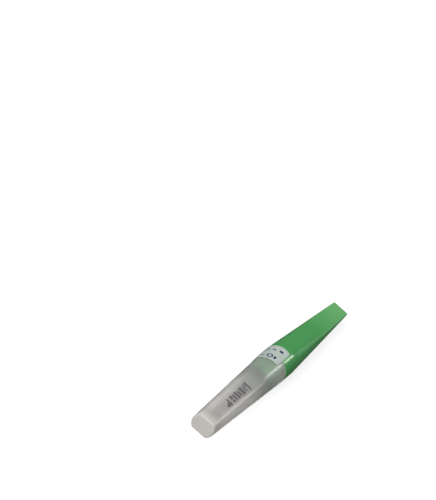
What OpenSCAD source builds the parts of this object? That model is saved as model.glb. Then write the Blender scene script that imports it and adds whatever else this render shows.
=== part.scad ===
// Double-ended blood collection needle, sealed between a green needle shield and a frosted rear cap.
// Every piece is drawn about the needle's own axis, which is X, with x = 0 at the joint between the
// shield and the cap and +X towards the patient end. lay() then puts the assembly on its side on z = 0.
// All lengths are in millimetres.

/* [Body] */
// Diameter of the shield's collar and of the cap's mouth, where they meet
body_d = 10.9; // [10:0.1:13]
// Smoothness of round faces
facets = 64; // [24:8:128]

/* [Needle shield] */
// Length of the round collar in front of the joint
collar_len = 6; // [3:0.5:10]
// Depth of the flats where they run out over the collar and the cap's mouth
flat_land = 0.2; // [0.1:0.05:0.4]
// Width of the blade at the shield's tip
tip_w = 5.7; // [4.5:0.1:7.5]
// Thickness of the blade at the shield's tip
tip_t = 1.7; // [1.5:0.1:2.6]
// Solid length of the shield beyond its hollow
tip_solid = 3.4; // [1.5:0.1:6]
// Free length between the needle's point and the end of the hollow
tip_clear = 0.9; // [0.4:0.1:4]
// Free height over the needle at the end of the hollow
tip_room = 0.22; // [0.15:0.01:0.35]
// Side wall of the shield at the end of the hollow
blade_wall = 1.2; // [0.8:0.1:1.5]
// Length of the skirt that the cap slides over
skirt_len = 9; // [6:0.5:12]
// Wall of the skirt
skirt_wall = 0.75; // [0.5:0.05:1]

/* [Rear cap] */
// Wall of the cap at its mouth
mouth_wall = 0.85; // [0.75:0.05:1.1]
// Wall of the cap behind the skirt
cap_wall = 0.85; // [0.75:0.05:1]
// Thickness of the cap's closed end
cap_end_wall = 2.2; // [1:0.1:4]
// Diameter of the cap at its closed end
cap_end_d = 8.4; // [8:0.1:9.6]
// Round part of the cap beyond the hub's flange, before its flats start
flat_delay = 0; // [0:0.1:1]
// Length of the slope that leads down to each flat
flat_ramp = 4.8; // [2:0.2:6]
// Rounding of the closed end's rim
end_round = 0.5; // [0.2:0.1:1]

/* [Hub] */
// How far the hub's nose stands in front of the joint
nose_out = 1.5; // [0.5:0.1:3]
// Diameter of the hub's nose
nose_d = 4.8; // [4:0.1:6]
// Length of the cone between the nose and the barrel
nose_len = 4; // [2:0.5:5]
// Height of the flange above the barrel's seat in the shield
flange_lip = 0.35; // [0.2:0.05:0.4]
// Thickness of the flange
flange_t = 1.2; // [0.8:0.1:2]
// Outer diameter of the threaded stub
thread_d = 6.3; // [5.5:0.1:6.8]
// Length of the threaded stub
thread_len = 6; // [4:0.5:8]
// Diameter of the nipple that holds the rubber sleeve
nipple_d = 2.5; // [2.3:0.1:3]
// Length of the nipple
nipple_len = 3; // [2:0.5:5]
// Number of flutes round the barrel
flute_n = 12; // [6:1:16]
// Diameter of each flute
flute_d = 0.8; // [0.4:0.1:1]
// Plain length of the barrel at each end of the flutes
flute_end = 0.4; // [0.2:0.1:1]
// Diameter of the glue well in the nose
well_d = 1.8; // [1.4:0.1:2.6]
// Depth of the glue well
well_len = 2.5; // [1:0.5:4]

/* [Cannula] */
// Outer diameter of the cannula, 21 gauge
cannula_od = 0.82; // [0.5:0.01:1.2]
// Inner diameter of the cannula
cannula_id = 0.51; // [0.25:0.01:0.6]
// Length of the cannula in front of the hub's nose
needle_len = 38; // [20:0.5:40]
// Length of the cannula behind the threaded stub
rear_needle_len = 23.3; // [14:0.1:26]
// Angle between the front bevel and the axis
front_bevel = 12; // [10:1:20]
// Angle between the rear bevel and the axis
rear_bevel = 17; // [12:1:30]

/* [Rubber sleeve] */
// Bore of the sleeve
sleeve_bore = 1.9; // [1.6:0.1:2.3]
// Wall of the sleeve
sleeve_wall = 0.7; // [0.5:0.05:0.9]
// Thickness of the sleeve's closed end
sleeve_end_wall = 1.1; // [0.6:0.1:2]

/* [Seal label] */
// Thickness of the paper
label_t = 0.1; // [0.08:0.01:0.2]
// Length of the label in front of the joint
label_front = 4.8; // [2:0.1:5.5]
// Length of the label behind the joint
label_rear = 3.4; // [2:0.1:6]
// Angle of the label round the body
label_span = 160; // [60:5:160]
// Angle from the top to the label's near end
label_from = 18; // [0:1:25]

/* [Clearances] */
// Radial clearance of the skirt in the cap
skirt_fit = 0.05; // [0.03:0.01:0.1]
// Radial clearance of the hub's barrel in the shield
hub_fit = 0.05; // [0.03:0.01:0.1]
// Gap between the cap's mouth and the shield's collar, and between the skirt and the flange
parting_gap = 0.1; // [0.05:0.01:0.2]
// Radial gap of glued, stretched and stuck faces
bond_gap = 0.02; // [0.01:0.01:0.04]
// Clearance between the threaded stub and the inside of the cap's flats
thread_clear = 0.2; // [0.15:0.05:0.5]
// Clearance between the rubber sleeve and the inside of the cap's flats
sleeve_clear = 0.7; // [0.4:0.05:1]
// Free length between the rear point and the end of the sleeve's bore
rear_point_gap = 0.3; // [0.2:0.1:1]
// Free length between the sleeve and the end of the cap's hollow
sleeve_end_gap = 0.4; // [0.3:0.1:2]

/* [Hidden] */

$fn = facets;
eps = 0.01;
reach = 20;

body_r = body_d / 2;
cannula_r = cannula_od / 2;

// Fits, from the outside in
cap_bore_r = body_r - mouth_wall;
skirt_r = cap_bore_r - skirt_fit;
shield_bore_r = skirt_r - skirt_wall;
barrel_r = shield_bore_r - hub_fit;
flange_r = shield_bore_r + flange_lip;
thread_r = thread_d / 2;
nipple_r = nipple_d / 2;
sleeve_r = sleeve_bore / 2 + sleeve_wall;
sleeve_seat_r = nipple_r + bond_gap;

// Places along the axis
skirt_x = -skirt_len;
flange_x = skirt_x - parting_gap;
stub_x = flange_x - flange_t;
stub_end_x = stub_x - thread_len;
rear_point_x = stub_end_x - rear_needle_len;
sleeve_bore_x = rear_point_x - rear_point_gap;
sleeve_end_x = sleeve_bore_x - sleeve_end_wall;
cap_hollow_x = sleeve_end_x - sleeve_end_gap;
cap_end_x = cap_hollow_x - cap_end_wall;
cap_mouth_x = -parting_gap;
flat_x = stub_x - flat_delay;
flat_full_x = flat_x - flat_ramp;
point_x = nose_out + needle_len;
shield_hollow_x = point_x + tip_clear;
tip_x = shield_hollow_x + tip_solid;

// Half thickness across the shallow flats over the collar, and a millimetre past the blade's end
land_h = body_r - flat_land;
tip_end_h = tip_t / 2 + (tip_t / 2 - land_h) / (tip_x - collar_len);

// Half thickness across the cap's flats, where the slope ends and at the closed end
flat_h = thread_r + thread_clear + cap_wall;
flat_end_h = sleeve_r + sleeve_clear + cap_wall;

// Half width of the needle shield in front of its collar, at a place x
function shield_side(x) =
    body_r + (tip_w / 2 - body_r) * (x - collar_len) / (tip_x - collar_len);

// Outer radius of the cap at a place x
function cap_side(x) =
    body_r + (cap_end_d / 2 - body_r) * (x - cap_mouth_x) / (cap_end_x - cap_mouth_x);

// Points of an arc
function arc(cx, cy, r, from, to, n = 8) =
    [for (i = [0:n]) let (a = from + (to - from) * i / n) [cx + r * cos(a), cy + r * sin(a)]];

// Lays the assembly on its side, with the middle of its length over the origin
module lay() {
    translate([-(tip_x + cap_end_x) / 2, 0, land_h]) children();
}

// Turns a profile of [radius, x] points about the X axis
module turned(points) {
    rotate([0, 90, 0]) rotate_extrude() polygon(points);
}

// Slab between an upper outline of [x, z] points and its mirror image below the axis
module slab(upper) {
    lower = [for (i = [len(upper) - 1:-1:0]) [upper[i][0], -upper[i][1]]];
    translate([0, reach, 0]) rotate([90, 0, 0]) linear_extrude(2 * reach) polygon(concat(upper, lower));
}

// Green needle shield: collar, skirt, and a cone whose two flats run out into a thin blade
module needle_shield() {
    color([0.20, 0.56, 0.26]) lay() difference() {
        union() {
            turned([[0, skirt_x], [skirt_r, skirt_x], [skirt_r, eps], [0, eps]]);
            intersection() {
                turned([[0, 0], [body_r, 0], [body_r, collar_len], [tip_w / 2, tip_x],
                        [0, tip_x]]);
                slab([[-1, land_h], [collar_len, land_h], [tip_x + 1, tip_end_h]]);
            }
        }
        shield_hollow();
    }
}

// Hollow of the needle shield: a bore for the hub's barrel, then a cone with flats round the needle
module shield_hollow() {
    bore_x = nose_out + tip_clear;
    end_r = shield_side(shield_hollow_x) - blade_wall;
    end_h = cannula_r + tip_room;
    turned([[0, skirt_x - 1], [shield_bore_r, skirt_x - 1], [shield_bore_r, bore_x], [0, bore_x]]);
    intersection() {
        turned([[0, bore_x - eps], [shield_bore_r, bore_x - eps], [shield_bore_r, bore_x],
                [end_r, shield_hollow_x], [0, shield_hollow_x]]);
        slab([[bore_x - eps, shield_bore_r], [bore_x, shield_bore_r], [shield_hollow_x, end_h]]);
    }
}

// Frosted rear cap: a closed tapered tube, round over the skirt and flattened behind it
module rear_cap() {
    color([0.80, 0.82, 0.80, 0.6]) lay() difference() {
        intersection() {
            turned(concat([[0, cap_mouth_x], [cap_side(cap_mouth_x), cap_mouth_x]],
                          arc(cap_end_d / 2 - end_round, cap_end_x + end_round, end_round, 0, -90),
                          [[0, cap_end_x]]));
            slab([[cap_mouth_x + 1, cap_side(cap_mouth_x + 1) - flat_land],
                  [flat_x, cap_side(flat_x) - flat_land], [flat_full_x, flat_h],
                  [cap_end_x - 1, flat_end_h]]);
        }
        cap_hollow();
    }
}

// Hollow of the rear cap: a bore over the skirt, then the outer form less the wall
module cap_hollow() {
    in_r = cap_side(flat_x) - cap_wall;
    in_end_r = cap_end_d / 2 - cap_wall;
    turned([[0, 1], [cap_bore_r, 1], [cap_bore_r, flat_x], [0, flat_x]]);
    intersection() {
        turned([[0, flat_x + eps], [in_r, flat_x + eps], [in_end_r, cap_hollow_x],
                [0, cap_hollow_x]]);
        slab([[flat_x + eps, in_r], [flat_x, in_r], [flat_full_x, flat_h - cap_wall],
              [cap_hollow_x, flat_end_h - cap_wall]]);
    }
}

// Hub: nose, fluted barrel, flange, stub that takes the thread, and the sleeve's nipple
module hub() {
    cone_x = nose_out - nose_len;
    nipple_x = stub_end_x - nipple_len;
    color([0.78, 0.80, 0.78]) lay() difference() {
        turned([[0, nose_out], [nose_d / 2, nose_out], [barrel_r, cone_x], [barrel_r, flange_x],
                [flange_r, flange_x], [flange_r, stub_x], [thread_r, stub_x],
                [thread_r, stub_end_x], [nipple_r, stub_end_x], [nipple_r, nipple_x],
                [0, nipple_x]]);
        turned([[0, nose_out + 1], [cannula_r + bond_gap, nose_out + 1],
                [cannula_r + bond_gap, nipple_x - 1], [0, nipple_x - 1]]);
        turned([[0, nose_out + 1], [well_d / 2, nose_out + 1], [well_d / 2, nose_out - well_len],
                [0, nose_out - well_len]]);
        for (i = [0:flute_n - 1])
            rotate([360 * (i + 0.5) / flute_n, 0, 0]) translate([flange_x + flute_end, 0, barrel_r])
                rotate([0, 90, 0]) cylinder(d = flute_d, h = cone_x - flange_x - 2 * flute_end);
    }
}

// Cannula: one steel tube through the hub, ground to a bevel at both ends
module cannula() {
    color([0.75, 0.76, 0.78]) lay() difference() {
        turned([[cannula_id / 2, rear_point_x], [cannula_r, rear_point_x], [cannula_r, point_x],
                [cannula_id / 2, point_x]]);
        translate([point_x, 0, -cannula_r]) rotate([0, front_bevel, 0])
            translate([-reach, -1, 0]) cube([2 * reach, 2, 2]);
        translate([rear_point_x, 0, -cannula_r]) rotate([0, -rear_bevel, 0])
            translate([-reach, -1, 0]) cube([2 * reach, 2, 2]);
    }
}

// Bead of adhesive that fills the glue well round the cannula
module needle_adhesive() {
    in_r = cannula_r + bond_gap;
    out_r = well_d / 2 - bond_gap;
    back_x = nose_out - well_len + bond_gap;
    color([0.85, 0.86, 0.80, 0.8]) lay()
        turned([[in_r, back_x], [out_r, back_x], [out_r, nose_out], [in_r, nose_out + bond_gap * 10]]);
}

// Rubber sleeve: a closed tube over the rear point, stretched over the hub's nipple
module rubber_sleeve() {
    front_x = stub_end_x - bond_gap;
    seat_end_x = stub_end_x - nipple_len - bond_gap;
    neck_x = seat_end_x - sleeve_wall;
    color([0.58, 0.60, 0.60]) lay()
        turned(concat([[sleeve_seat_r, front_x], [sleeve_seat_r + sleeve_wall, front_x],
                       [sleeve_seat_r + sleeve_wall, seat_end_x], [sleeve_r, neck_x]],
                      arc(sleeve_r - sleeve_wall, sleeve_end_x + sleeve_wall, sleeve_wall, 0, -90),
                      [[0, sleeve_end_x], [0, sleeve_bore_x], [sleeve_bore / 2, sleeve_bore_x],
                       [sleeve_bore / 2, seat_end_x], [sleeve_seat_r, seat_end_x]]));
}

// One half of the paper seal, between two places on the axis, with the body's radius at each
module seal_half(x1, r1, x2, r2) {
    color([0.93, 0.94, 0.93]) lay() rotate([180 + label_from - label_span, 0, 0]) rotate([0, 90, 0])
        rotate_extrude(angle = label_span)
            polygon([[r1 + bond_gap, x1], [r1 + bond_gap + label_t, x1],
                     [r2 + bond_gap + label_t, x2], [r2 + bond_gap, x2]]);
}

// Half of the seal that stays on the needle shield
module seal_label_front() {
    seal_half(0, body_r, label_front, body_r);
}

// Half of the seal that stays on the rear cap
module seal_label_rear() {
    seal_half(-label_rear, cap_side(-label_rear), cap_mouth_x, body_r);
}

needle_shield();
rear_cap();
hub();
cannula();
needle_adhesive();
rubber_sleeve();
seal_label_front();
seal_label_rear();
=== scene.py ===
"""A capped double-ended blood collection needle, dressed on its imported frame."""

import math

import bmesh
import bpy
from mathutils import Matrix, Vector


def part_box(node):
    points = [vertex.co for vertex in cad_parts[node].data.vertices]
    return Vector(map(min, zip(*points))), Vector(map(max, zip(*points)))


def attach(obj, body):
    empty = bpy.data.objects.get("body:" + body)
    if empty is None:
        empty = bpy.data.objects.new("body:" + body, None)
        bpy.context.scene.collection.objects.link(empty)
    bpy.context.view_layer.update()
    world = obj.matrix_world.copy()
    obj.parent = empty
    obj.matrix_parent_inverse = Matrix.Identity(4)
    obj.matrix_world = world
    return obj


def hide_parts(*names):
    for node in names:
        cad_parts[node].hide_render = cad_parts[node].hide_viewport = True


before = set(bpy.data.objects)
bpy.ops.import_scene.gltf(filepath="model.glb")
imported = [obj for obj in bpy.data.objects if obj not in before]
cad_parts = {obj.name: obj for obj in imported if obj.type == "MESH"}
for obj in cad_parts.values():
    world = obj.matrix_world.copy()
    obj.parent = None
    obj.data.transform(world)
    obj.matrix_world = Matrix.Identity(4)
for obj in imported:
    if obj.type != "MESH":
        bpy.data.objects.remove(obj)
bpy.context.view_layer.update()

MM = 0.001
PHOTO_W = 436
PHOTO_H = 500

# Real sizes in millimetres, the same values as in the part's source
COLLAR_LEN = 6.0
FLAT_LAND = 0.2
TIP_W = 5.7
TIP_T = 1.7
TIP_SOLID = 3.4
TIP_CLEAR = 0.9
TIP_ROOM = 0.22
BLADE_WALL = 1.2
SKIRT_WALL = 0.75
SKIRT_FIT = 0.05
HUB_FIT = 0.05
MOUTH_WALL = 0.85
CAP_WALL = 0.85
CAP_END_D = 8.4
CAP_END_WALL = 2.2
FLAT_RAMP = 4.8
END_ROUND = 0.5
PARTING_GAP = 0.1
THREAD_D = 6.3
THREAD_CLEAR = 0.2
SLEEVE_D = 3.3
SLEEVE_CLEAR = 0.7
FLANGE_LIP = 0.35
FLANGE_T = 1.2
NOSE_D = 4.8
NOSE_LEN = 4.0
NIPPLE_D = 2.5
NIPPLE_LEN = 3.0
WELL_D = 1.8
WELL_LEN = 2.5
FLUTE_N = 12
CANNULA_D = 0.82
BOND_GAP = 0.02
LABEL_T = 0.1
LABEL_FRONT = 4.8
LABEL_REAR = 3.4
LABEL_FROM = 18.0
LABEL_SPAN = 160.0

# Sizes in millimetres of fine forms that the scene has and the solids lack or have more plainly
THREAD_DEPTH = 0.45
THREAD_PITCH = 1.5
THREAD_RUN_OUT = 0.6
FLUTE_DEPTH = 0.32
FLUTE_RUN_OUT = 0.5
FLUTE_SETBACK = 0.3
EDGE_ROUND = 0.12
BORE_LEAD = 0.15
SKIRT_LEAD = 0.25
SKIRT_LEAD_IN = 0.2
NOSE_EDGE = 0.3
NIPPLE_EDGE = 0.25
LABEL_CORNER = 0.9
INK_LIFT = 0.008

# Tear line of the seal: how far each half stands back from the joint, how deep it is cut, and how many
# of its steps make one tooth and one cut
TEAR_FRONT = 0.04
TEAR_REAR = 0.06
TEAR_CUT = 0.08
TEAR_PERIOD = 8
TEAR_CUT_STEPS = 3

# Places along the axis, in millimetres, from the frame's own boxes
cap_lo, cap_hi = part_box("rear_cap")
shield_lo, shield_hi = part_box("needle_shield")
hub_lo, hub_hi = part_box("hub")
sleeve_lo, sleeve_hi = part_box("rubber_sleeve")
AXIS_Z = (cap_lo.z + cap_hi.z) / 2 / MM
BODY_R = (cap_hi.y - cap_lo.y) / 2 / MM
MOUTH_X = cap_hi.x / MM
CAP_END_X = cap_lo.x / MM
JOINT_X = MOUTH_X + PARTING_GAP
TIP_X = shield_hi.x / MM
SKIRT_X = shield_lo.x / MM
NOSE_X = hub_hi.x / MM
NIPPLE_X = hub_lo.x / MM
STUB_END_X = NIPPLE_X + NIPPLE_LEN
FLANGE_X = SKIRT_X - PARTING_GAP
STUB_X = FLANGE_X - FLANGE_T
CAP_HOLLOW_X = CAP_END_X + CAP_END_WALL
COLLAR_X = JOINT_X + COLLAR_LEN
HOLLOW_X = TIP_X - TIP_SOLID
BORE_END_X = NOSE_X + TIP_CLEAR
FLAT_X = STUB_X
FLAT_FULL_X = FLAT_X - FLAT_RAMP

# Radii that follow from the fits
CAP_BORE_R = BODY_R - MOUTH_WALL
SKIRT_R = CAP_BORE_R - SKIRT_FIT
SHIELD_BORE_R = SKIRT_R - SKIRT_WALL
BARREL_R = SHIELD_BORE_R - HUB_FIT
FLANGE_R = SHIELD_BORE_R + FLANGE_LIP
NEEDLE_HOLE_R = CANNULA_D / 2 + BOND_GAP
FLAT_H = THREAD_D / 2 + THREAD_CLEAR + CAP_WALL
FLAT_END_H = SLEEVE_D / 2 + SLEEVE_CLEAR + CAP_WALL

# Steps round a ring, and round the thin bead of adhesive, and the size of a face of printed ink in
# millimetres along the needle and degrees round it
AROUND = 144
BEAD_AROUND = 48
INK_STEP = 0.3
INK_TURN = 3

# Smallest cosine that a length is divided by
TINY = 1e-4

# How sharply a cap flat meets the round side, how quickly the shield's section goes from round to flat
# with crowned edges, and how much sharper its edges get in the thin blade
EDGE_POWER = 30
CROWN = 3.2
TIP_CROWN = 14

# Lengths in millimetres over which the cap's flats and the shield's section set in
FLAT_BLEND = 0.6
SECTION_BLEND = 3

# Angle in degrees from which an edge between faces is shown sharp
CREASE = 40
WALL_CREASE = 50
SOFT_CREASE = 60

# Share of light that the frosted wall lets through, and share that it scatters to the far side
HAZE = 0.74
MILKY = 0.15


def mix(a, b, t):
    """Value between a and b at the share t."""
    return a + (b - a) * t


def smooth(t):
    """Eased share from 0 to 1."""
    t = min(max(t, 0.0), 1.0)
    return t * t * (3 - 2 * t)


def steps(a, b, count):
    """Evenly spaced values from a to b, both included."""
    return [mix(a, b, i / count) for i in range(count + 1)]


def to_flat(distance, phi):
    """Radius at the angle phi from the top that reaches a flat at a distance from the axis."""
    return distance / max(abs(math.cos(phi)), TINY)


def flatted(radius, half, phi):
    """Radius of a round section with two flats, at the angle phi from the top, with soft edges."""
    return (radius ** -EDGE_POWER + to_flat(half, phi) ** -EDGE_POWER) ** (-1 / EDGE_POWER)


def crowned(side, half, phi):
    """Radius of a section as wide as side and as thick as half, rounder where the two are close."""
    thin = 1 - half / side
    power = 2 + CROWN * thin + TIP_CROWN * thin ** 4
    shape = (abs(math.cos(phi)) / half) ** power + (abs(math.sin(phi)) / side) ** power
    return min(shape ** (-1 / power), side)


def landed(radius, phi):
    """Radius of a round section with the shallow flats that the needle lies on."""
    return min(radius, to_flat(radius - FLAT_LAND, phi))


def cap_side(x):
    """Radius of the cap's round sides."""
    return mix(BODY_R, CAP_END_D / 2, (x - MOUTH_X) / (CAP_END_X - MOUTH_X))


def cap_half(x):
    """Half thickness across the cap's flats."""
    if x > FLAT_FULL_X:
        return mix(cap_side(FLAT_X) - FLAT_LAND, FLAT_H, smooth((FLAT_X - x) / FLAT_RAMP))
    return mix(FLAT_H, FLAT_END_H, (x - FLAT_FULL_X) / (CAP_END_X - FLAT_FULL_X))


def cap_outside(x, phi):
    """Radius of the cap's outer face."""
    if x >= FLAT_X:
        return landed(cap_side(x), phi)
    blend = smooth((FLAT_X - x) / FLAT_BLEND)
    return mix(landed(cap_side(x), phi), flatted(cap_side(x), cap_half(x), phi), blend)


def cap_inside(x, phi):
    """Radius of the cap's inner face."""
    if x >= FLAT_X:
        return CAP_BORE_R
    return cap_outside(x, phi) - CAP_WALL


def shield_side(x):
    """Half width of the shield in front of its collar."""
    return mix(BODY_R, TIP_W / 2, (x - COLLAR_X) / (TIP_X - COLLAR_X))


def shield_outside(x, phi):
    """Radius of the shield's outer face."""
    if x <= COLLAR_X:
        return landed(BODY_R, phi)
    side = shield_side(x)
    half = mix(BODY_R - FLAT_LAND, TIP_T / 2, (x - COLLAR_X) / (TIP_X - COLLAR_X))
    return mix(landed(side, phi), crowned(side, half, phi), smooth((x - COLLAR_X) / SECTION_BLEND))


def shield_inside(x, phi):
    """Radius of the shield's inner face, which narrows from the bore to a slot round the point."""
    if x <= BORE_END_X:
        return SHIELD_BORE_R
    share = (x - BORE_END_X) / (HOLLOW_X - BORE_END_X)
    side = mix(SHIELD_BORE_R, shield_side(HOLLOW_X) - BLADE_WALL, share)
    half = mix(SHIELD_BORE_R, CANNULA_D / 2 + TIP_ROOM, share)
    return flatted(side, half, phi)


def around_axis(x, r, phi):
    """Point at a place along the axis, a radius and an angle from the top towards +Y."""
    return Vector((x * MM, r * math.sin(phi) * MM, (AXIS_Z + r * math.cos(phi)) * MM))


def ring(x, radius, around=AROUND):
    """Points of one ring about the needle's axis; radius is a number or a function of the angle."""
    angles = [2 * math.pi * i / around for i in range(around)]
    return [around_axis(x, radius(phi) if callable(radius) else radius, phi) for phi in angles]


def rings_of(xs, radius):
    """Rings at several places, with a radius that depends on the place and the angle."""
    return [ring(x, lambda phi, x=x: radius(x, phi)) for x in xs]


def end_rings(x, radius, shares):
    """Rings at one place that shrink or grow to shares of a section."""
    return [ring(x, lambda phi, k=k: k * radius(phi)) for k in shares]


def loft(name, rings, body, material, loop=False, creases=CREASE):
    """A mesh through rings of equal count. Open ends are closed, or the last ring joins the first."""
    bm = bmesh.new()
    rows = [[bm.verts.new(p) for p in points] for points in rings]
    pairs = list(zip(rows, rows[1:]))
    if loop:
        pairs.append((rows[-1], rows[0]))
    count = len(rows[0])
    for a, b in pairs:
        for i in range(count):
            j = (i + 1) % count
            bm.faces.new((a[i], a[j], b[j], b[i]))
    if not loop:
        bm.faces.new(rows[0])
        bm.faces.new(list(reversed(rows[-1])))
    bmesh.ops.recalc_face_normals(bm, faces=bm.faces)
    return finish_mesh(name, bm, body, material, creases)


def finish_mesh(name, bm, body, material, creases=CREASE):
    """Turns a bmesh into a smooth-shaded object that rides on a body."""
    mesh = bpy.data.meshes.new(name)
    bm.to_mesh(mesh)
    bm.free()
    for polygon in mesh.polygons:
        polygon.use_smooth = True
    mesh.set_sharp_from_angle(angle=math.radians(creases))
    obj = bpy.data.objects.new(name, mesh)
    bpy.context.scene.collection.objects.link(obj)
    obj.data.materials.append(material)
    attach(obj, body)
    return obj


class Nodes:
    """Short helper round one material's node tree."""

    # Noise lies mostly between these two values
    NOISE_LOW = 0.3
    NOISE_HIGH = 0.7

    def __init__(self, name):
        self.material = bpy.data.materials.new(name)
        self.material.use_nodes = True
        self.tree = self.material.node_tree
        self.shader = self.tree.nodes["Principled BSDF"]
        self.output = self.tree.nodes["Material Output"]

    def add(self, kind, **values):
        """A new node with values for its sockets or settings."""
        node = self.tree.nodes.new(kind)
        for key, value in values.items():
            if key in node.inputs:
                node.inputs[key].default_value = value
            else:
                setattr(node, key, value)
        return node

    def link(self, a, b):
        self.tree.links.new(a, b)

    def coords(self):
        return self.add("ShaderNodeTexCoord").outputs["Object"]

    def along_x(self):
        """The X place on the object, in metres."""
        split = self.add("ShaderNodeSeparateXYZ")
        self.link(self.coords(), split.inputs["Vector"])
        return split.outputs["X"]

    def noise(self, scale, detail=3.0, rough=0.5):
        node = self.add("ShaderNodeTexNoise", Scale=scale, Detail=detail, Roughness=rough)
        self.link(self.coords(), node.inputs["Vector"])
        return node.outputs["Fac"]

    def ramp(self, fac, *stops):
        """Colour that runs through stops of a place and a colour."""
        node = self.add("ShaderNodeValToRGB")
        elements = node.color_ramp.elements
        while len(elements) < len(stops):
            elements.new(0.5)
        for element, (place, colour) in zip(elements, stops):
            element.position = place
            element.color = (*colour, 1)
        self.link(fac, node.inputs["Fac"])
        return node.outputs["Color"]

    def remap(self, value, a, b, c, d):
        """Value that goes from c to d as the given one goes from a to b."""
        node = self.add("ShaderNodeMapRange")
        node.inputs["From Min"].default_value = a
        node.inputs["From Max"].default_value = b
        node.inputs["To Min"].default_value = c
        node.inputs["To Max"].default_value = d
        self.link(value, node.inputs["Value"])
        return node.outputs["Result"]

    def weighted(self, value, weight, base, clamp=False):
        """The value times a weight, plus the base."""
        node = self.add("ShaderNodeMath", operation="MULTIPLY_ADD", use_clamp=clamp)
        self.link(value, node.inputs[0])
        node.inputs[1].default_value = weight
        self.link(base, node.inputs[2])
        return node.outputs[0]

    def blend(self, share, first, second):
        """Two shaders mixed by a number or by a socket."""
        node = self.add("ShaderNodeMixShader")
        if isinstance(share, float):
            node.inputs["Fac"].default_value = share
        else:
            self.link(share, node.inputs["Fac"])
        self.link(first, node.inputs[1])
        self.link(second, node.inputs[2])
        return node.outputs[0]

    def bump(self, height, strength, distance):
        node = self.add("ShaderNodeBump", Strength=strength, Distance=distance)
        self.link(height, node.inputs["Height"])
        self.link(node.outputs["Normal"], self.shader.inputs["Normal"])

    def colour(self, socket):
        self.link(socket, self.shader.inputs["Base Color"])

    def mottled(self, noise, low, high):
        """Base colour between two close colours."""
        self.colour(self.ramp(noise, (self.NOISE_LOW, low), (self.NOISE_HIGH, high)))

    def rough(self, noise, low, high):
        """Roughness that wanders between two values."""
        self.link(self.remap(noise, self.NOISE_LOW, self.NOISE_HIGH, low, high),
                  self.shader.inputs["Roughness"])

    def set(self, **values):
        """Constant values on the shader's own sockets, with _ for a space in a socket's name."""
        for key, value in values.items():
            self.shader.inputs[key.replace("_", " ")].default_value = value


# Places along the axis, in metres, between which the materials change: where the blade gets thin and its
# painted light begins, the tip, the frosted cap's two ends, and where its solid end gives way to the
# hollow
THIN_FROM = 0.024
THIN_TO = 0.0437
FROST_END = -0.0437
FROST_MOUTH = -0.0017
SOLID_TO = -0.0425
HOLLOW_FROM = -0.0385


def green_plastic():
    """Satin green polypropylene, a little lighter towards the thin end of the blade, which is painted
    light shining through the thin plastic.
    """
    n = Nodes("green_plastic")
    thin = n.remap(n.along_x(), THIN_FROM, THIN_TO, 0.0, 1.0)
    # Lighter towards the tip: painted light shining through the thin blade
    n.colour(n.ramp(n.weighted(n.noise(180, 4), 0.10, thin),
                    (0.0, (0.092, 0.478, 0.130)),
                    (0.1, (0.100, 0.500, 0.141)),
                    (1.0, (0.232, 0.700, 0.245))))
    n.rough(n.noise(900, 3), 0.21, 0.26)
    n.bump(n.noise(2600, 2), 0.05, 0.00002)
    n.set(Subsurface_Weight=0.15, Subsurface_Scale=0.001, Subsurface_Radius=(0.4, 1.0, 0.4))
    return n.material


def frosted_plastic():
    """Frosted translucent plastic: hazy, but it shows what is inside, and denser at the solid end, with
    painted shade of the parts inside in its colour.
    """
    n = Nodes("frosted_plastic")
    place = n.along_x()
    run = n.weighted(n.noise(240, 4), 0.06, n.remap(place, FROST_END, FROST_MOUTH, 0.0, 0.94))
    # Colour along the cap: warm at the solid end, a darker dip at the hollow's closed end that is
    # painted shade, and a deep darker band over the flange, thread and skirt near the mouth that is
    # painted shade of the hub and skirt inside
    colour = n.ramp(run,
                    (0.03, (0.91, 0.875, 0.835)),
                    (0.08, (0.81, 0.78, 0.75)),
                    (0.18, (0.94, 0.925, 0.90)),
                    (0.55, (0.92, 0.91, 0.89)),
                    (0.68, (0.79, 0.79, 0.77)),
                    (0.76, (0.66, 0.67, 0.65)),
                    (0.86, (0.77, 0.78, 0.76)),
                    (0.98, (0.85, 0.79, 0.83)))
    n.colour(colour)
    n.rough(n.noise(700, 3), 0.29, 0.34)
    n.bump(n.noise(3000, 2), 0.10, 0.00002)
    n.link(n.remap(place, SOLID_TO, HOLLOW_FROM, 0.12, HAZE), n.shader.inputs["Transmission Weight"])
    n.set(IOR=1.45, Coat_Weight=0.24, Coat_Roughness=0.15)
    white = n.add("ShaderNodeBsdfTranslucent")
    n.link(colour, white.inputs["Color"])
    milky = n.blend(MILKY, n.shader.outputs[0], white.outputs[0])
    clear = n.add("ShaderNodeBsdfTransparent", Color=(0.70, 0.70, 0.69, 1))
    shadow = n.add("ShaderNodeLightPath").outputs["Is Shadow Ray"]
    n.link(n.blend(shadow, milky, clear.outputs[0]), n.output.inputs["Surface"])
    return n.material


def hub_plastic():
    """Moulded dark green-grey plastic."""
    n = Nodes("hub_plastic")
    n.mottled(n.noise(300, 4), (0.15, 0.21, 0.17), (0.20, 0.27, 0.22))
    n.rough(n.noise(1200, 3), 0.37, 0.47)
    n.bump(n.noise(2400, 3), 0.15, 0.00003)
    return n.material


def steel():
    """Drawn steel tube with fine lines along its length."""
    n = Nodes("steel")
    stretch = n.add("ShaderNodeMapping", Scale=(200, 9000, 9000))
    n.link(n.coords(), stretch.inputs["Vector"])
    lines = n.add("ShaderNodeTexNoise", Scale=1.0, Detail=4.0)
    n.link(stretch.outputs["Vector"], lines.inputs["Vector"])
    n.mottled(lines.outputs["Fac"], (0.50, 0.51, 0.53), (0.66, 0.67, 0.69))
    n.rough(lines.outputs["Fac"], 0.22, 0.34)
    n.bump(lines.outputs["Fac"], 0.1, 0.00001)
    n.set(Metallic=1.0)
    return n.material


def sleeve_rubber():
    """Matt dark grey rubber with a dusted, uneven surface."""
    n = Nodes("sleeve_rubber")
    n.mottled(n.noise(500, 5), (0.10, 0.105, 0.11), (0.16, 0.165, 0.165))
    n.rough(n.noise(1500, 3), 0.55, 0.75)
    n.bump(n.noise(1800, 4), 0.25, 0.00004)
    return n.material


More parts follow.
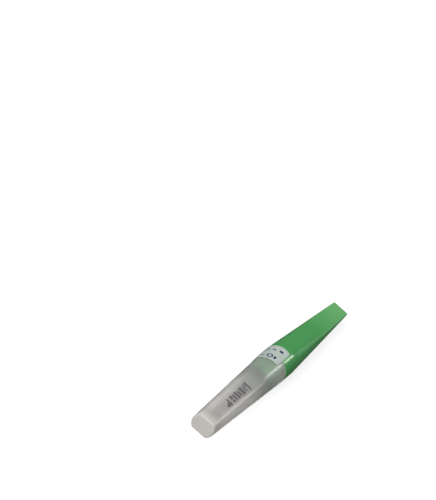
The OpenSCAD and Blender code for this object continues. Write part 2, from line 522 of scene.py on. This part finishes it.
def clear_glue():
    """Clear glossy adhesive, slightly yellow."""
    n = Nodes("adhesive")
    n.mottled(n.noise(600, 2), (0.80, 0.77, 0.62), (0.88, 0.86, 0.74))
    n.bump(n.noise(900, 2), 0.1, 0.00002)
    n.set(Transmission_Weight=0.6, Roughness=0.12, IOR=1.5)
    return n.material


def seal_paper():
    """Coated paper, white with a cool tint, with faint fibres."""
    n = Nodes("seal_paper")
    n.mottled(n.noise(1400, 6), (0.63, 0.75, 0.68), (0.72, 0.83, 0.76))
    n.rough(n.noise(2200, 4), 0.36, 0.46)
    n.bump(n.noise(4000, 5, 0.7), 0.2, 0.00002)
    return n.material


def ink(name, colour, lighter):
    """Printed ink, slightly uneven."""
    n = Nodes(name)
    n.colour(n.ramp(n.noise(2500, 4), (0.35, colour), (0.75, lighter)))
    n.set(Roughness=0.5)
    n.bump(n.noise(4000, 3), 0.1, 0.00001)
    return n.material


def rear_cap(material):
    """The frosted cap as one closed shell: its hollow, its mouth, its outer wall and its end face."""
    rings = end_rings(CAP_HOLLOW_X, lambda phi: cap_inside(CAP_HOLLOW_X, phi), (0.08, 0.5, 0.85))
    rings += rings_of(steps(CAP_HOLLOW_X + 0.3, FLAT_FULL_X, 26), cap_inside)
    rings += rings_of(steps(FLAT_FULL_X + 0.2, FLAT_X - 0.05, 20), cap_inside)
    rings += [ring(x, CAP_BORE_R) for x in steps(FLAT_X + 0.05, MOUTH_X - BORE_LEAD, 12)]
    rings.append(ring(MOUTH_X, CAP_BORE_R + BORE_LEAD))
    for t in steps(math.pi / 2, 0, 4):
        x = MOUTH_X - EDGE_ROUND * (1 - math.sin(t))
        inset = EDGE_ROUND * (1 - math.cos(t))
        rings.append(ring(x, lambda phi, i=inset: cap_outside(MOUTH_X, phi) - i))
    rings += rings_of(steps(MOUTH_X - EDGE_ROUND - 0.2, FLAT_X + 0.2, 14), cap_outside)
    rings += rings_of(steps(FLAT_X, FLAT_FULL_X, 24), cap_outside)
    rings += rings_of(steps(FLAT_FULL_X - 0.5, CAP_END_X + END_ROUND, 30), cap_outside)
    for t in steps(0.2, math.pi / 2, 6):
        x = CAP_END_X + END_ROUND * (1 - math.sin(t))
        inset = END_ROUND * (1 - math.cos(t))
        rings.append(ring(x, lambda phi, i=inset: cap_outside(CAP_END_X + END_ROUND, phi) - i))
    rings += end_rings(CAP_END_X, lambda phi: cap_outside(CAP_END_X, phi), (0.75, 0.4, 0.08))
    obj = loft("rear_cap_shell", rings, "rear_cover", material, creases=WALL_CREASE)
    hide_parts("rear_cap")


def needle_shield(material):
    """The green shield as one closed shell: skirt, collar, tapered body and blade, hollow inside."""
    rings = end_rings(HOLLOW_X, lambda phi: shield_inside(HOLLOW_X, phi), (0.05, 0.5))
    rings += rings_of(steps(HOLLOW_X - 0.05, BORE_END_X + 0.1, 30), shield_inside)
    rings += [ring(x, SHIELD_BORE_R) for x in steps(BORE_END_X, SKIRT_X + SKIRT_LEAD, 8)]
    rings += [ring(SKIRT_X, SHIELD_BORE_R + SKIRT_LEAD_IN), ring(SKIRT_X, SKIRT_R - SKIRT_LEAD_IN),
              ring(SKIRT_X + SKIRT_LEAD, SKIRT_R)]
    rings += [ring(x, SKIRT_R) for x in steps(SKIRT_X + 0.5, JOINT_X, 8)]
    for t in steps(0, math.pi / 2, 5):
        x = JOINT_X + EDGE_ROUND * (1 - math.cos(t))
        inset = EDGE_ROUND * (1 - math.sin(t))
        rings.append(ring(x, lambda phi, i=inset: landed(BODY_R, phi) - i))
    rings += rings_of(steps(JOINT_X + 0.5, COLLAR_X, 6), shield_outside)
    rings += rings_of(steps(COLLAR_X + 0.1, COLLAR_X + SECTION_BLEND, 16), shield_outside)
    rings += rings_of(steps(COLLAR_X + SECTION_BLEND + 0.5, TIP_X - EDGE_ROUND, 34), shield_outside)
    for t in steps(0.3, math.pi / 2, 5):
        x = TIP_X - EDGE_ROUND * (1 - math.sin(t))
        inset = EDGE_ROUND * (1 - math.cos(t))
        rings.append(ring(x, lambda phi, i=inset: shield_outside(TIP_X, phi) - i))
    rings += end_rings(TIP_X, lambda phi: shield_outside(TIP_X, phi) - EDGE_ROUND, (0.6, 0.1))
    obj = loft("needle_shield_shell", rings, "front_shield", material, creases=WALL_CREASE)
    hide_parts("needle_shield")


def thread_radius(x, phi):
    """Crest and root of a right-hand thread that runs out at both ends of the stub."""
    crest, flank = 1.6, 5.2
    rear_gap, front_gap = 0.15, 0.1
    turn = ((x - STUB_END_X) / THREAD_PITCH + phi / (2 * math.pi)) % 1
    ridge = smooth(crest - abs(turn - 0.5) * flank)
    ends = smooth(min(x - STUB_END_X - rear_gap, STUB_X - x - front_gap) / THREAD_RUN_OUT)
    return THREAD_D / 2 - THREAD_DEPTH * (1 - ridge * ends)


def barrel_radius(x, phi):
    """Barrel with flutes along it."""
    rib = 0.45
    wave = math.cos(FLUTE_N * phi)
    from_ends = min(x - FLANGE_X, NOSE_X - NOSE_LEN - x) - FLUTE_SETBACK
    ends = smooth(from_ends / FLUTE_RUN_OUT)
    return BARREL_R - FLUTE_DEPTH * ends * smooth((-wave - rib) / (1 - rib))


def hub(material):
    """The hub: nose with glue well, fluted barrel, flange, threaded stub and nipple."""
    well_x = NOSE_X - WELL_LEN
    cone_x = NOSE_X - NOSE_LEN
    rings = [ring(well_x, NEEDLE_HOLE_R), ring(well_x, WELL_D / 2),
             ring(NOSE_X - BORE_LEAD, WELL_D / 2), ring(NOSE_X, WELL_D / 2 + BORE_LEAD),
             ring(NOSE_X, NOSE_D / 2 - NOSE_EDGE), ring(NOSE_X - NOSE_EDGE, NOSE_D / 2)]
    rings += [ring(x, mix(BARREL_R, NOSE_D / 2, (x - cone_x) / NOSE_LEN))
              for x in steps(NOSE_X - 2 * NOSE_EDGE, cone_x + 0.1, 6)]
    rings += rings_of(steps(cone_x, FLANGE_X, 26), barrel_radius)
    rings += [ring(FLANGE_X, FLANGE_R - EDGE_ROUND), ring(FLANGE_X - EDGE_ROUND, FLANGE_R),
              ring(STUB_X + EDGE_ROUND, FLANGE_R), ring(STUB_X, FLANGE_R - EDGE_ROUND)]
    rings += rings_of(steps(STUB_X, STUB_END_X, 90), thread_radius)
    rings += [ring(STUB_END_X, NIPPLE_D / 2), ring(NIPPLE_X + 0.3, NIPPLE_D / 2),
              ring(NIPPLE_X, NIPPLE_D / 2 - NIPPLE_EDGE), ring(NIPPLE_X, NEEDLE_HOLE_R)]
    obj = loft("hub_moulding", rings, "needle", material, loop=True)
    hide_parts("hub")


def rubber_sleeve(material):
    """The sleeve: stretched over the nipple, slightly waisted, closed and rounded at its end."""
    front, end = sleeve_hi.x / MM, sleeve_lo.x / MM
    neck = STUB_END_X - NIPPLE_LEN
    seat_r = (sleeve_hi.z - sleeve_lo.z) / 2 / MM
    seat_bore = NIPPLE_D / 2 + BOND_GAP
    needle_room = 0.2
    bore = CANNULA_D / 2 + needle_room
    closed, shoulder, end_round, lead = 1.2, 1.2, 0.8, 0.15
    seat_dent, seat_wave = 0.04, 2.2
    tube_dent, tube_wave = 0.03, 0.9
    rings = [ring(end + closed, 0.05), ring(end + closed, bore), ring(neck, bore), ring(neck, seat_bore),
             ring(front, seat_bore), ring(front, seat_r - lead), ring(front - lead, seat_r)]
    rings += [ring(x, seat_r - seat_dent * math.sin((front - x) * seat_wave) ** 2)
              for x in steps(front - 2 * lead, neck, 10)]
    rings += [ring(x, mix(seat_r, SLEEVE_D / 2, smooth((neck - x) / shoulder)))
              for x in steps(neck - 0.1, neck - shoulder, 8)]
    rings += [ring(x, SLEEVE_D / 2 - tube_dent * math.sin(x * tube_wave) ** 2)
              for x in steps(neck - shoulder - 0.3, end + end_round + 0.1, 30)]
    rings += [ring(end + end_round * (1 - math.sin(t)), SLEEVE_D / 2 - end_round * (1 - math.cos(t)))
              for t in steps(0.1, math.pi / 2, 6)]
    rings.append(ring(end, 0.1))
    obj = loft("rubber_sleeve_tube", rings, "needle", material, creases=SOFT_CREASE)
    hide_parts("rubber_sleeve")


def adhesive(material):
    """The bead of adhesive with its meniscus up the cannula."""
    outer = WELL_D / 2 - BOND_GAP
    back = NOSE_X - WELL_LEN + BOND_GAP
    brim, climb = NOSE_X - 0.25, 0.45
    places = [(back, NEEDLE_HOLE_R), (back, outer), (brim, outer)]
    places += [(brim + climb * s * s, mix(outer, NEEDLE_HOLE_R, s)) for s in steps(0.15, 1, 8)]
    rings = [ring(x, r, BEAD_AROUND) for x, r in places]
    obj = loft("adhesive_bead", rings, "needle", material, loop=True, creases=SOFT_CREASE)
    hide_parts("needle_adhesive")


def wrapped(x, degrees, lift):
    """Point on the body at a place along the axis and an angle from the top towards +Y."""
    r = (cap_side(x) if x < JOINT_X else BODY_R) + lift
    return around_axis(x, r, math.radians(degrees))


def label_row(near_x, far_x, i, count):
    """Angle, tear edge and outer edge of one row round the seal, with rounded outer corners."""
    low, high = -LABEL_FROM, LABEL_SPAN - LABEL_FROM
    deg = mix(low, high, i / count)
    outward = 1 if far_x > near_x else -1
    share = 1 - min(deg - low, high - deg) / math.degrees(LABEL_CORNER / BODY_R)
    cut = LABEL_CORNER * (1 - math.sqrt(max(0.0, 1 - share * share))) if share > 0 else 0.0
    notch = TEAR_CUT if i % TEAR_PERIOD < TEAR_CUT_STEPS else 0.0
    return deg, near_x + outward * notch, far_x - outward * cut


def seal_half(name, node, body, near_x, far_x, material):
    """One half of the paper seal, with rounded outer corners and a perforated tear edge."""
    across, along = 16, 120
    bm = bmesh.new()
    layers = []
    for lift in (BOND_GAP, BOND_GAP + LABEL_T):
        rows = []
        for i in range(along + 1):
            deg, inner_x, outer_x = label_row(near_x, far_x, i, along)
            rows.append([bm.verts.new(wrapped(x, deg, lift)) for x in steps(inner_x, outer_x, across)])
        layers.append(rows)
    under, over = layers
    for i in range(along):
        for j in range(across):
            bm.faces.new((over[i][j], over[i + 1][j], over[i + 1][j + 1], over[i][j + 1]))
            bm.faces.new((under[i][j], under[i][j + 1], under[i + 1][j + 1], under[i + 1][j]))
    for i in range(along):
        for j in (0, across):
            bm.faces.new((under[i][j], under[i + 1][j], over[i + 1][j], over[i][j]))
    for j in range(across):
        for i in (0, along):
            bm.faces.new((under[i][j], under[i][j + 1], over[i][j + 1], over[i][j]))
    bmesh.ops.recalc_face_normals(bm, faces=bm.faces)
    obj = finish_mesh(name, bm, body, material)
    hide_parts(node)


def print_patch(bm, x0, x1, deg0, deg1, lift):
    """A printed rectangle that lies on the body."""
    nx, nd = max(1, int(abs(x1 - x0) / INK_STEP)), max(2, int(abs(deg1 - deg0) / INK_TURN))
    grid = [[bm.verts.new(wrapped(x, deg, lift)) for deg in steps(deg0, deg1, nd)]
            for x in steps(x0, x1, nx)]
    for i in range(nx):
        for j in range(nd):
            bm.faces.new((grid[i][j], grid[i + 1][j], grid[i + 1][j + 1], grid[i][j + 1]))


def print_ring(bm, x, deg, r_out, r_in, lift):
    """A printed ring or, with r_in zero, a dot."""
    count = 40
    per_mm = math.degrees(1 / BODY_R)
    circles = []
    for r in (r_out, r_in):
        turns = [2 * math.pi * i / count for i in range(count)]
        circles.append([bm.verts.new(wrapped(x + r * math.cos(t), deg + r * math.sin(t) * per_mm, lift))
                        for t in turns])
    outer, inner = circles
    for i in range(count):
        j = (i + 1) % count
        bm.faces.new((outer[i], outer[j], inner[j], inner[i]))


def seal_print(material):
    """Generic marks on the seal: a ring, a dot and short blocks."""
    lift = BOND_GAP + LABEL_T + INK_LIFT
    rear = bmesh.new()
    print_ring(rear, JOINT_X - 1.7, 26, 1.05, 0.62, lift)
    print_patch(rear, JOINT_X - 2.3, JOINT_X - 1.0, 3, 11, lift)
    print_patch(rear, JOINT_X - 2.2, JOINT_X - 1.8, 44, 58, lift)
    bmesh.ops.recalc_face_normals(rear, faces=rear.faces)
    finish_mesh("seal_print_rear", rear, "rear_cover", material)
    front = bmesh.new()
    print_patch(front, JOINT_X + 2.0, JOINT_X + 3.0, 0, 13, lift)
    print_patch(front, JOINT_X + 1.8, JOINT_X + 2.4, 24, 36, lift)
    print_ring(front, JOINT_X + 1.9, 50, 0.35, 0.0, lift)
    bmesh.ops.recalc_face_normals(front, faces=front.faces)
    finish_mesh("seal_print_front", front, "front_shield", material)


def flat_patch(bm, x, width, top, tall, lift):
    """A printed rectangle that lies on the cap's upper flat."""
    along, across = 6, 4
    rows = []
    for px in steps(x, x + width, along):
        z = AXIS_Z + cap_half(px) + lift
        rows.append([bm.verts.new(Vector((px * MM, y * MM, z * MM)))
                     for y in steps(top - tall, top, across)])
    for a, b in zip(rows, rows[1:]):
        for k in range(across):
            bm.faces.new((a[k], b[k], b[k + 1], a[k + 1]))


# Marks printed on the cap's flat, in millimetres: place along the axis, width, upper edge and height
CAP_FIELD = (-29.3, 9.3, 1.0, 2.5)
CAP_BARS = [
    (-32.4, 0.6, -0.7, 0.9),
    (-31.6, 0.6, -0.1, 1.6),
    (-30.8, 0.6, 0.8, 2.6),
    (-28.8, 0.7, 1.0, 1.4),
    (-28.8, 0.7, -0.9, 0.6),
    (-27.4, 0.6, 0.7, 2.2),
    (-26.0, 0.7, 1.1, 2.7),
    (-24.6, 0.6, 0.4, 1.8),
    (-23.1, 0.8, 1.1, 2.8),
    (-21.6, 0.5, 0.3, 1.5),
    (-20.4, 0.5, 1.2, 1.2),
    (-19.5, 0.6, 1.5, 3.3),
]


def cap_print(field_material, bar_material):
    """A faint field and a row of plain bars printed on the cap's upper flat."""
    field = bmesh.new()
    flat_patch(field, *CAP_FIELD, INK_LIFT)
    finish_mesh("cap_print_field", field, "rear_cover", field_material)
    bars = bmesh.new()
    for bar in CAP_BARS:
        flat_patch(bars, *bar, 2 * INK_LIFT)
    finish_mesh("cap_print_bars", bars, "rear_cover", bar_material)


# The photograph's view: how far the needle's axis leans from the picture plane, how far its upper
# flat is rolled away, the angle of its axis in the picture, the joint's place in it, the scale, and
# how many metres away the camera stands
LEAN = math.radians(50)
ROLL = math.radians(10)
PICTURE_ANGLE = math.radians(40.4)
JOINT_PX = Vector((270.9, 367.9))
PX_PER_MM = 3.209
CAMERA_AWAY = 1.2

# Studio light: strength of the surroundings, and each lamp's power, direction, distance and size
WORLD = 0.19
KEY = 3.85
KEY_FROM = (-0.68, 0.28, 0.68)
KEY_SIZE = (0.6, 0.6)
STREAK = 0.6
STREAK_FROM = (0.766, -0.44, 0.52)
STREAK_SIZE = (0.035, 0.2)
LAMP_AWAY = 0.7

# The floor: half its width and its drop below the needle in metres, how much light it throws back,
# how pale it looks lit, the white added to that, and how white it shows through the frosted plastic
FLOOR_HALF = 4.0
FLOOR_DROP = 0.0002
FLOOR_BOUNCE = 0.15
FLOOR_PALE = 0.6
FLOOR_GLOW = 0.74
SEEN_THROUGH = 0.85


def photo_axes():
    """Directions to the picture's right, to its top, and to the viewer, in the frame's axes."""
    along = Vector((math.cos(LEAN), math.sin(LEAN) * -math.sin(ROLL), math.sin(LEAN) * math.cos(ROLL)))
    across = Vector((0, -math.cos(ROLL), -math.sin(ROLL)))
    viewer = -along.cross(across)
    right = along * math.cos(PICTURE_ANGLE) + across * math.sin(PICTURE_ANGLE)
    up = along * math.sin(PICTURE_ANGLE) - across * math.cos(PICTURE_ANGLE)
    return right, up, viewer.normalized()


def camera():
    """The photograph's camera, without perspective."""
    right, up, viewer = photo_axes()
    joint = Vector((JOINT_X, 0, AXIS_Z)) * MM
    offset = (JOINT_PX - Vector((PHOTO_W / 2, PHOTO_H / 2))) / PX_PER_MM * MM
    centre = joint - right * offset.x + up * offset.y
    data = bpy.data.cameras.new("photo_camera")
    data.type = "ORTHO"
    data.ortho_scale = PHOTO_H / PX_PER_MM * MM
    data.clip_start = 0.01
    data.clip_end = 20
    obj = bpy.data.objects.new("photo_camera", data)
    basis = Matrix((right, up, viewer)).transposed().to_4x4()
    obj.matrix_world = Matrix.Translation(centre + viewer * CAMERA_AWAY) @ basis
    bpy.context.scene.collection.objects.link(obj)
    bpy.context.scene.camera = obj


def area_light(name, direction, size, power):
    """A soft rectangular light that faces the needle from a direction in the frame's axes."""
    data = bpy.data.lights.new(name, "AREA")
    data.shape = "RECTANGLE"
    data.size, data.size_y = size
    data.energy = power
    obj = bpy.data.objects.new(name, data)
    target = Vector((0, 0, AXIS_Z * MM))
    place = target + Vector(direction).normalized() * LAMP_AWAY
    obj.location = place
    obj.rotation_euler = (target - place).to_track_quat("-Z", "Y").to_euler()
    bpy.context.scene.collection.objects.link(obj)


def floor_material():
    """Pale floor that shows white and keeps the soft shadow, and throws back little light."""
    n = Nodes("floor_white")
    n.set(Roughness=0.9, Base_Color=(FLOOR_BOUNCE, FLOOR_BOUNCE, FLOOR_BOUNCE, 1))
    pale = n.add("ShaderNodeBsdfDiffuse", Color=(FLOOR_PALE, FLOOR_PALE, FLOOR_PALE, 1))
    glow = n.add("ShaderNodeEmission", Strength=FLOOR_GLOW)
    above = n.add("ShaderNodeAddShader")
    n.link(pale.outputs[0], above.inputs[0])
    n.link(glow.outputs[0], above.inputs[1])
    under = n.add("ShaderNodeEmission", Strength=1.0)
    behind = n.add("ShaderNodeNewGeometry").outputs["Backfacing"]
    white = n.blend(behind, above.outputs[0], under.outputs[0])
    path = n.add("ShaderNodeLightPath")
    seen = n.weighted(path.outputs["Is Transmission Ray"], SEEN_THROUGH, path.outputs["Is Camera Ray"],
                      clamp=True)
    n.link(n.blend(seen, n.shader.outputs[0], white), n.output.inputs["Surface"])
    return n.material


def studio_floor():
    """A wide floor just under the needle."""
    s = FLOOR_HALF
    mesh = bpy.data.meshes.new("studio_floor")
    mesh.from_pydata([(-s, -s, 0), (s, -s, 0), (s, s, 0), (-s, s, 0)], [], [(0, 1, 2, 3)])
    floor = bpy.data.objects.new("studio_floor", mesh)
    floor.location.z = -FLOOR_DROP
    bpy.context.scene.collection.objects.link(floor)
    floor.data.materials.append(floor_material())


def studio_world():
    """Surroundings that light the needle dimly and show white to the camera."""
    world = bpy.data.worlds.new("studio_world")
    world.use_nodes = True
    tree = world.node_tree
    dim = tree.nodes["Background"]
    dim.inputs["Color"].default_value = (1, 1, 1, 1)
    dim.inputs["Strength"].default_value = WORLD
    white = tree.nodes.new("ShaderNodeBackground")
    white.inputs["Strength"].default_value = 1.0
    path = tree.nodes.new("ShaderNodeLightPath")
    chosen = tree.nodes.new("ShaderNodeMixShader")
    tree.links.new(path.outputs["Is Camera Ray"], chosen.inputs["Fac"])
    tree.links.new(dim.outputs[0], chosen.inputs[1])
    tree.links.new(white.outputs[0], chosen.inputs[2])
    tree.links.new(chosen.outputs[0], tree.nodes["World Output"].inputs["Surface"])
    bpy.context.scene.world = world


def build():
    """Every piece of the needle, and the material of the carried-over cannula."""
    paper = seal_paper()
    rear_cap(frosted_plastic())
    needle_shield(green_plastic())
    hub(hub_plastic())
    rubber_sleeve(sleeve_rubber())
    adhesive(clear_glue())
    seal_half("seal_front_paper", "seal_label_front", "front_shield",
              JOINT_X - TEAR_FRONT, JOINT_X + LABEL_FRONT, paper)
    seal_half("seal_rear_paper", "seal_label_rear", "rear_cover",
              JOINT_X - TEAR_REAR, JOINT_X - LABEL_REAR, paper)
    seal_print(ink("seal_ink", (0.02, 0.03, 0.16), (0.05, 0.07, 0.24)))
    cap_print(ink("cap_ink_pale", (0.36, 0.345, 0.35), (0.46, 0.445, 0.445)),
              ink("cap_ink", (0.09, 0.08, 0.085), (0.17, 0.16, 0.16)))
    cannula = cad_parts["cannula"]
    cannula.data.materials.clear()
    cannula.data.materials.append(steel())


bpy.context.scene.view_settings.view_transform = "Standard"
build()
studio_floor()
studio_world()
area_light("key", KEY_FROM, KEY_SIZE, KEY)
area_light("streak", STREAK_FROM, STREAK_SIZE, STREAK)
camera()
